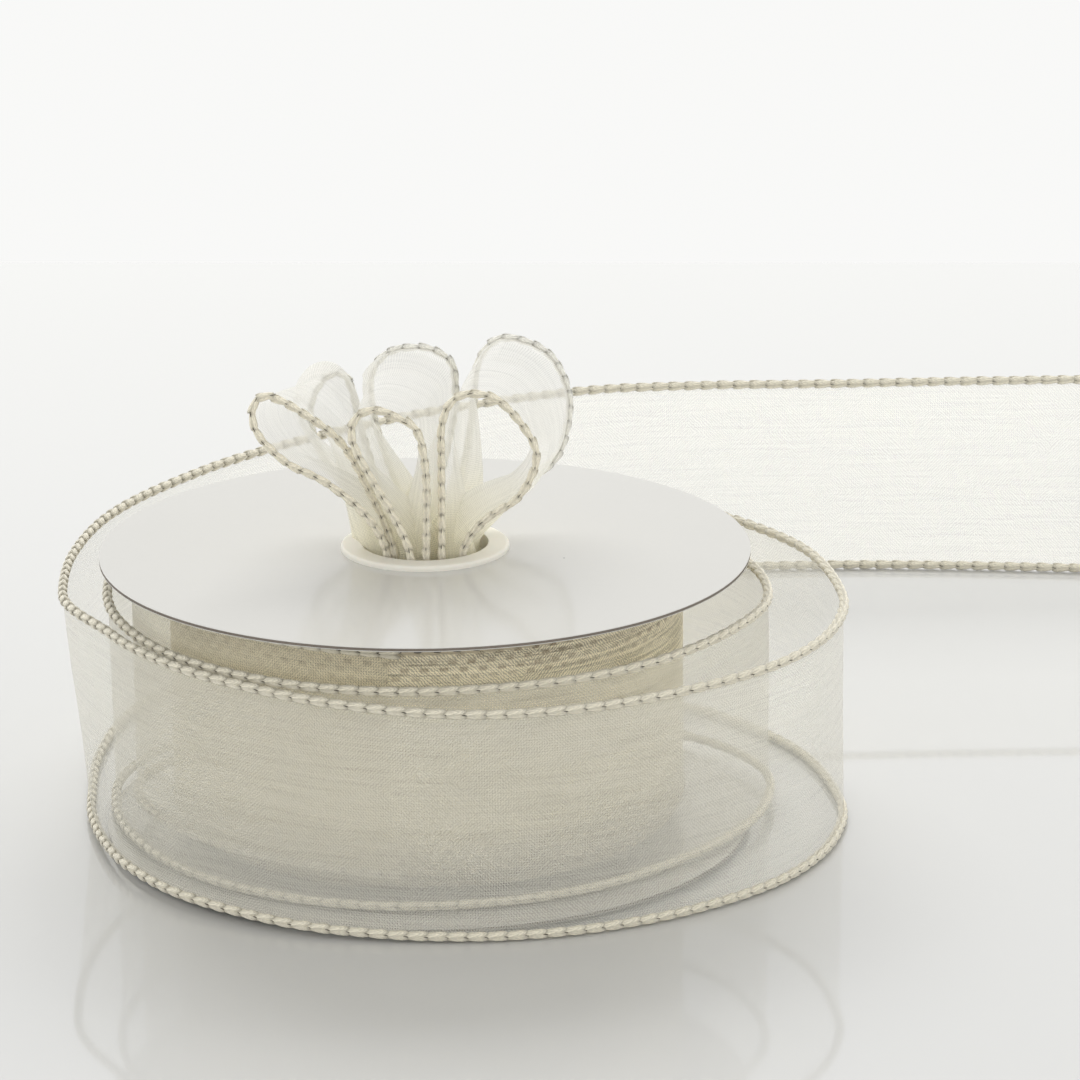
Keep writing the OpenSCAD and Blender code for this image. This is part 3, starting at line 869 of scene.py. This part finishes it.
def build_edging_tree(name, row_turns, glimpse_turns):
    """Overlocked edging: rows of leaf-shaped stitches round a wire that shows between the rows."""
    tree = geometry_tree(name, [
        ("Pitch", "Float", STITCH_PITCH * MM), ("Stitch Length", "Float", 0.0040),
        ("Stitch Width", "Float", 0.00115), ("Stitch Depth", "Float", 0.0008),
        ("Row Radius", "Float", 0.0004), ("Dip", "Float", 0.09), ("Lay", "Float", 0.12),
        ("Core Radius", "Float", 0.00056), ("Glimpse Length", "Float", 0.0011),
        ("Glimpse Width", "Float", 0.00025), ("Glimpse Radius", "Float", 0.00056), ("Seed", "Int", 1),
        ("Thread", "Material", None), ("Wire", "Material", None)])
    n = Nodes(tree)
    given = n.add("NodeGroupInput").outputs
    line = n.add("GeometryNodeMeshToCurve", {"Mesh": given["Edges"]}).outputs[0]
    spaced = n.add(
        "GeometryNodeResampleCurve", {"Curve": line, "Length": given["Pitch"]}, mode="LENGTH").outputs[0]
    spots = n.add("GeometryNodeCurveToPoints", {"Curve": spaced}, mode="EVALUATED").outputs
    out = n.add(
        "GeometryNodeInputNamedAttribute", {"Name": "way_out"}, data_type="FLOAT_VECTOR").outputs[0]
    facing = n.add(
        "FunctionNodeAxesToRotation", {"Primary Axis": spots["Tangent"], "Secondary Axis": out},
        primary_axis="X", secondary_axis="Y").outputs[0]
    section = n.add("GeometryNodeCurvePrimitiveCircle", {
        "Resolution": 6, "Radius": given["Core Radius"]}).outputs[0]
    core = n.add("GeometryNodeCurveToMesh", {
        "Curve": line, "Profile Curve": section, "Fill Caps": True}).outputs[0]
    stitches = stitch_rows(n, given, spots, facing, row_turns)
    glimpses = wire_glimpses(n, given, spots, facing, glimpse_turns)
    whole = n.add("GeometryNodeJoinGeometry")
    for part, material in ((core, "Thread"), (glimpses, "Wire"), (stitches, "Thread")):
        tree.links.new(finished(n, part, given[material]), whole.inputs[0])
    smooth = n.add("GeometryNodeSetShadeSmooth", {"Geometry": whole.outputs[0]}).outputs[0]
    tree.links.new(smooth, n.add("NodeGroupOutput").inputs["Edging"])
    return tree


def edge_lines(name, edges):
    """A mesh of open lines, each point with the way out of the cloth's face."""
    points, links, out = [], [], []
    for line, ways_out in edges:
        first = len(points)
        points += [p * MM for p in line]
        out += ways_out
        links += [(first + i, first + i + 1) for i in range(len(line) - 1)]
    mesh = bpy.data.meshes.new(name)
    mesh.from_pydata(points, links, [])
    attribute = mesh.attributes.new("way_out", "FLOAT_VECTOR", "POINT")
    attribute.data.foreach_set("vector", [x for way in out for x in way])
    return new_object(name, mesh)


def apply_tree(piece, tree, values):
    """Runs a geometry tree on the piece and keeps the result as a plain mesh."""
    modifier = piece.modifiers.new(tree.name, "NODES")
    modifier.node_group = tree
    for item in tree.interface.items_tree:
        if item.in_out == "INPUT" and item.name in values:
            modifier[item.identifier] = values[item.name]
    graph = bpy.context.evaluated_depsgraph_get()
    mesh = bpy.data.meshes.new_from_object(
        piece.evaluated_get(graph), preserve_all_data_layers=True, depsgraph=graph)
    piece.modifiers.clear()
    spent, piece.data = piece.data, mesh
    mesh.name = piece.name
    bpy.data.meshes.remove(spent)
    return piece


def both_edges(low, high):
    """A strip's two edges as edge_lines() takes them."""
    out = [f[0] for f in frames_along(low, high)]
    return [(low, out), (high, out)]


def stitched_edges(name, edges, tree, materials, **changes):
    """The edges' cords, with any of the tree's sizes changed."""
    values = {"Thread": materials["thread"], "Wire": materials["wire"], **changes}
    return apply_tree(edge_lines(name, edges), tree, values)


# ---- the winding ---------------------------------------------------------------

# The stitches of the wound turns are pressed flat between their neighbours.
PRESSED = {
    "Stitch Length": 0.0042, "Stitch Width": 0.0005, "Stitch Depth": 0.0011, "Row Radius": 0.0,
    "Dip": 0.12, "Lay": 0.0, "Core Radius": 0.0002,
    "Glimpse Length": 0.0013, "Glimpse Width": 0.0003, "Glimpse Radius": 0.00022}
# The deep turns are hidden, so their stitches are longer and their cloth is coarser.
DEEP_STITCH = {"Pitch": 0.012, "Stitch Length": 0.0135}
DEEP_COLUMNS = 2
LAYER_COLUMNS = 12
WINDING_END = 262
OPEN_TURNS = 7
TURN_STEPS = 96
# The share of the last turn in which the winding swells out to meet the loose turn.
LAST_SWELL = 0.2
CORE_GAP = 0.15
# The turns' heights over the lower flange, spread by steps of the golden share.
LEAST_LIFT = 0.7
LIFT_WANDER = 6.2
GOLDEN_SHARE = 0.618


def winding_lift(turn, count):
    """How high each turn lies over the lower flange: no two neighbours alike."""
    from_outside = count - turn
    if from_outside < 0.5:
        return RIM_LIFT * INNER_ROWS[0][4]
    wander = (math.floor(from_outside + 0.5) * GOLDEN_SHARE) % 1.0
    return LOWER_FLANGE_HIGH.z + LEAST_LIFT + LIFT_WANDER * wander


def winding_height(turn, count, angle):
    """The lower edge's height: level for most of a turn, then across to the next turn's."""
    base = math.floor(count - turn + 0.5)
    part = (count - turn + 0.5) - base
    here = winding_lift(count - base, count)
    beyond = winding_lift(count - base - 1, count)
    blend = max(0.0, (part - 0.75) / 0.25)
    blend = blend * blend * (3 - 2 * blend)
    return here + (beyond - here) * blend + CORD_D / 2 + 0.25 * math.sin(3 * angle + base)


def winding_radius(turn, count, angle):
    """The turn's radius, a little out of round, and swelled at its very end."""
    base = math.floor(count - turn + 0.5)
    r = CORE_R + CORE_GAP + WINDING_PITCH * turn
    r += 0.12 * math.sin(2 * angle + 1.3 * base) * min(1, (count - turn))
    return r + (PACK_SIDE - PACK_R) * max(0.0, 1 - (count - turn) / LAST_SWELL) ** 2


def winding_way(first, last, count):
    """Lower edge, upper edge of the winding between two turn numbers."""
    steps = round((last - first) * TURN_STEPS)
    low, high = [], []
    for i in range(steps + 1):
        turn = first + (last - first) * i / steps
        angle = math.radians(WINDING_END + 360 * (count - turn))
        r = winding_radius(turn, count, angle)
        foot = Vector((r * math.cos(angle), r * math.sin(angle), winding_height(turn, count, angle)))
        low.append(foot)
        high.append(foot + Vector((0, 0, EDGE_STEP)))
    return low, high


def build_winding(materials, edging, deep_edging):
    """The wound ribbon as a true spiral: the open outer turns, and the turns deep inside."""
    count = (PACK_R - CORE_R - CORE_GAP) / WINDING_PITCH
    split = count - OPEN_TURNS
    deep_low, deep_high = winding_way(0, split, count)
    deep = ribbon_strip(
        "wound_ribbon", (deep_low, deep_high), DEEP_COLUMNS, materials["wound"], wound_slack(3))
    low, high = winding_way(split, count, count)
    top = ribbon_strip(
        "wound_ribbon_outer_layers", (low, high), LAYER_COLUMNS, materials["layers"], wound_slack(5))
    pressed = {**PRESSED, "Thread": materials["wound_thread"]}
    cords = stitched_edges("wound_ribbon_edges", both_edges(low, high), edging, materials, **pressed)
    inner_edges = stitched_edges(
        "wound_ribbon_inner_edges", both_edges(deep_low, deep_high), deep_edging, materials,
        **{**pressed, **DEEP_STITCH})
    for piece in (deep, top, cords, inner_edges):
        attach(piece, "spool")
    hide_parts("ribbon_pack")
    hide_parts("pack_upper_edge", "pack_lower_edge")
    lengths_along(deep_low)[-1] * MM
    lengths_along(low)[-1] * MM


# ---- the loose turns and the tail ----------------------------------------------

STRIP_STEPS = 7


def build_loose_ribbon(materials, edging):
    """The two loose turns, and the tail, which joins no body and keeps its place baked in."""
    rows = [on_turn(row) for row in INNER_ROWS + OUTER_ROWS] + [behind(row) for row in FAR_ROWS]
    way = smooth_curve(rows, STRIP_STEPS)
    inner_end = STRIP_STEPS * (len(INNER_ROWS) - 1)
    tail_from = STRIP_STEPS * TAIL_FROM_ROW
    low, high = upright_edges(way)
    run = lengths_along(low)
    stretches = (
        ("inner_turn", 0, inner_end, "loose_ribbon"),
        ("outer_turn", inner_end, tail_from, "loose_ribbon"),
        ("tail", tail_from, len(way) - 1, None))
    for seed, (name, first, last, body) in enumerate(stretches):
        lows, highs = low[first:last + 1], high[first:last + 1]
        cloth = ribbon_strip(
            name + "_cloth", (lows, highs), CLOTH_COLUMNS, materials["sheer"], loose_slack, run[first])
        cords = stitched_edges(name + "_cords", both_edges(lows, highs), edging, materials, Seed=seed + 2)
        for piece in (cloth, cords):
            if body:
                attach(piece, body)
            else:
                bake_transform(piece)
        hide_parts(name)
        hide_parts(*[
            f"{name}_{side}_{kind}" for side in ("lower", "upper") for kind in ("cord", "wire")])


# ---- the bow ----------------------------------------------------------------------

BOW_STEPS = 8
# The bow's edges are sewn tighter, and the rear ones show less wire.
TIGHT_STITCH = {"Pitch": 0.0025, "Stitch Length": 0.0031}
FRONT_STITCH = {
    **TIGHT_STITCH, "Stitch Width": 0.00095, "Stitch Depth": 0.00068, "Row Radius": 0.00033,
    "Core Radius": 0.0005, "Glimpse Length": 0.0011, "Glimpse Width": 0.00015,
    "Glimpse Radius": 0.00054}
REAR_STITCH = {
    **TIGHT_STITCH, "Stitch Width": 0.001, "Stitch Depth": 0.0006, "Row Radius": 0.00032,
    "Core Radius": 0.00045, "Glimpse Width": 0.0001, "Glimpse Radius": 0.00045}
# The folds of each loop. For each leg: where across the cloth, half width, how
# deep and which way (outward is positive), and how high they reach as a share of
# the loop. Then the crown's creases on the way up and on the way down.
BOW_FOLDS = {
    "left": (
        [(0.20, 0.15, -0.9, 0.8), (0.46, 0.13, 0.5, 0.55), (0.76, 0.18, -1.0, 0.9)],
        [(0.24, 0.16, -1.0, 0.95), (0.52, 0.13, 0.4, 0.6), (0.80, 0.16, -0.8, 0.7)],
        [(0.42, 0.36, -0.8), (0.84, 0.15, 3.0)], [(0.40, 0.30, 0.8), (0.84, 0.15, 2.2)]),
    "middle": (
        [(0.22, 0.15, -1.0, 0.7), (0.50, 0.14, 0.6, 0.5), (0.78, 0.15, -0.9, 0.95)],
        [(0.18, 0.13, -0.8, 0.9), (0.44, 0.14, 0.4, 0.6), (0.74, 0.17, -1.0, 0.8)],
        [(0.36, 0.26, 0.7), (0.80, 0.18, 2.4)], [(0.40, 0.30, -0.7), (0.82, 0.16, 0.5)]),
    "right": (
        [(0.20, 0.14, -0.9, 0.7), (0.46, 0.13, 0.5, 0.5), (0.76, 0.18, -1.0, 0.95)],
        [(0.22, 0.16, -1.0, 0.95), (0.50, 0.13, 0.4, 0.6), (0.80, 0.15, -0.8, 0.7)],
        [(0.34, 0.28, -0.9), (0.78, 0.20, 3.2)], [(0.44, 0.36, 1.0), (0.86, 0.13, -0.6)])}
DEEPEST_FOLD = 9
MOUTH_ROOM = 9.7


def tent(v, centre, half):
    """A straight-sided fold with a sharp crest."""
    return max(0.0, 1 - abs(v - centre) / half)


def fold_columns(folds):
    """Where the cloth's columns lie, so that every crest and foot of a fold has one."""
    marks = {0.0, 1.0}
    for fold in folds:
        marks |= {fold[0] - fold[1], fold[0], fold[0] + fold[1]}
    marks = sorted(m for m in marks if 0 <= m <= 1)
    made = []
    for a, b in zip(marks, marks[1:]):
        if b - a > 0.004:
            made += [a, (a + b) / 2]
    return made + [1.0]


def fold_shape(columns, leg, rise):
    """The folds' outline across the cloth, at a height up the loop."""
    return [
        sum(way * tent(v, centre, half) * max(0.0, 1 - rise / top) for centre, half, way, top in leg)
        for v in columns]


def folded_ring(a, b, out, columns, leg, crowns, share):
    """Cloth from edge to edge: folded to the ribbon's full width at the foot, opened flat at the crown."""
    rise = 1 - abs(2 * share - 1)
    shape = fold_shape(columns, leg, rise)
    crease = [
        rise * sum(
            part * sum(depth * tent(v, centre, half) for centre, half, depth in crown)
            for crown, part in zip(crowns, (1 - share, share)))
        for v in columns]
    opened = min(1.0, max(0.0, (rise - 0.4) / 0.5))
    width = EDGE_STEP + ((b - a).length - EDGE_STEP) * opened
    low, high = 0.0, DEEPEST_FOLD
    for _ in range(20):
        depth = (low + high) / 2
        ring = [a.lerp(b, v) + out * (depth * s) for v, s in zip(columns, shape)]
        if lengths_along(ring)[-1] < width:
            low = depth
        else:
            high = depth
    return [in_the_mouth(p + out * c) for p, c in zip(ring, crease)]


def in_the_mouth(p):
    """Keeps cloth clear of the hub's mouth and its lip."""
    room = MOUTH_ROOM + max(0.0, p.z - HUB_TOP) * 1.5
    across = p.xy.length
    if across > room:
        return Vector((p.x * room / across, p.y * room / across, p.z))
    return p


CREASE_ANGLE = 18


def bow_cloth(side, near, far, material):
    """A loop's cloth between its front and rear edges."""
    frames = frames_along(near, far)
    run = lengths_along(near)
    first, second, *crowns = BOW_FOLDS[side]
    columns = fold_columns(first + second + crowns[0] + crowns[1])
    rings, places = [], []
    for i in range(len(near)):
        share = run[i] / run[-1]
        leg = first if share < 0.5 else second
        ring = folded_ring(near[i], far[i], frames[i][0], columns, leg, crowns, share)
        rings.append(ring)
        places.append([(run[i] * MM, done * MM) for done in lengths_along(ring)])
    cloth = grid_mesh(f"bow_{side}_cloth", rings, places, material)
    cloth.data.set_sharp_from_angle(angle=math.radians(CREASE_ANGLE))
    return cloth


def build_bow(materials, edging):
    """Three loops whose feet are gathered in the hub's mouth."""
    for seed, (side, lines) in enumerate(BOW_LOOPS.items()):
        raise_by = Vector((0, 0, HUB_TOP))
        near, far = ([p + raise_by for p in smooth_curve(line, BOW_STEPS)] for line in lines)
        cloth = bow_cloth(side, near, far, materials["bow"])
        front_edge, rear_edge = both_edges(near, far)
        cords = [
            stitched_edges(
                f"bow_{side}_front_edging", [front_edge], edging, materials,
                **{**FRONT_STITCH, "Seed": seed + 9, "Thread": materials["bow_thread"]}),
            stitched_edges(
                f"bow_{side}_rear_edging", [rear_edge], edging, materials,
                **{**REAR_STITCH, "Seed": seed + 19, "Thread": materials["rear_thread"]})]
        for piece in (cloth, *cords):
            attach(piece, "bow")
        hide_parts(f"bow_{side}_loop")
        for cord, part in zip(cords, ("front", "rear")):
            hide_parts(f"bow_{side}_{part}_cord", f"bow_{side}_{part}_wire")
        middle = (lengths_along(near)[-1] + lengths_along(far)[-1]) / 2


# ---- the spool's own parts ----------------------------------------------------------

def dress_spool(materials):
    """Gives the frame's own nodes their finishes."""
    finishes = {
        "upper_flange_board": "board", "lower_flange_board": "board",
        "upper_flange_outer_liner": "paper", "upper_flange_inner_liner": "paper",
        "lower_flange_outer_liner": "paper", "lower_flange_inner_liner": "paper",
        "hub_upper_half": "plastic", "hub_lower_half": "plastic",
        "core_tube": "core", "start_tape": "tape", "bow_tie_wire": "wire"}
    for node, finish in finishes.items():
        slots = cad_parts[node].material_slots
        for slot in slots:
            slot.material = materials[finish]
        if not slots:
            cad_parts[node].data.materials.append(materials[finish])


def build_materials():
    """Every finish, by the name that the pieces ask for."""
    weave, rows, grain = build_weave_group(), build_rows_and_edge_shade_group(), build_grain_group()
    return {
        "sheer": sheer_material(
            "sheer_ribbon", weave, PALE_CREAM, thread_share=0.45, density=0.50, streaks=0.3, hatch=0.12,
            lets_through=0.3, rows=rows, rows_and_shade_strength=0.45, leaves_winding=True),
        "bow": sheer_material(
            "sheer_bow", weave, WHITE_CREAM, thread_share=0.5, density=0.66, streaks=0.25, hatch=0.05,
            lets_through=0.4, gathered=True, pitch=BOW_WEAVE_PITCH),
        "layers": sheer_material(
            "wound_layers", weave, CREAM, thread_share=0.5, density=0.9, streaks=1.3, hatch=0.26,
            lets_through=0.15, rows=rows),
        "wound": solid_cloth_material(weave, rows),
        "thread": thread_material("ivory_thread", THREAD),
        "bow_thread": thread_material("bow_thread", BOW_THREAD),
        "rear_thread": thread_material("pale_thread", REAR_THREAD),
        "wound_thread": thread_material("pressed_thread", WOUND_THREAD), "wire": wire_material(),
        "paper": paper_material(grain), "board": board_material(grain),
        "plastic": plastic_material(grain), "core": core_material(grain), "tape": tape_material(grain)}


make_camera()
make_world()
make_table()
make_light("back_softbox", place=(-0.05, 1.4, 1.3), aim=(0, 0, 0.03), size=(1.5, 0.9), power=27)
bpy.context.scene.view_settings.view_transform = "Standard"
bpy.context.scene.cycles.transparent_max_bounces = 48

MATERIALS = build_materials()
BRAIDED_EDGING = build_edging_tree("braided_edging", (45, 135, 225, 315), (90, 270))
BOW_EDGING = build_edging_tree("bow_edging", (45, 135, 225, 315), (0, 180))
PRESSED_EDGING = build_edging_tree("pressed_edging", (0,), (90, 270))
DEEP_EDGING = build_edging_tree("deep_edging", (0,), ())
build_winding(MATERIALS, PRESSED_EDGING, DEEP_EDGING)
build_loose_ribbon(MATERIALS, BRAIDED_EDGING)
build_bow(MATERIALS, BOW_EDGING)
dress_spool(MATERIALS)
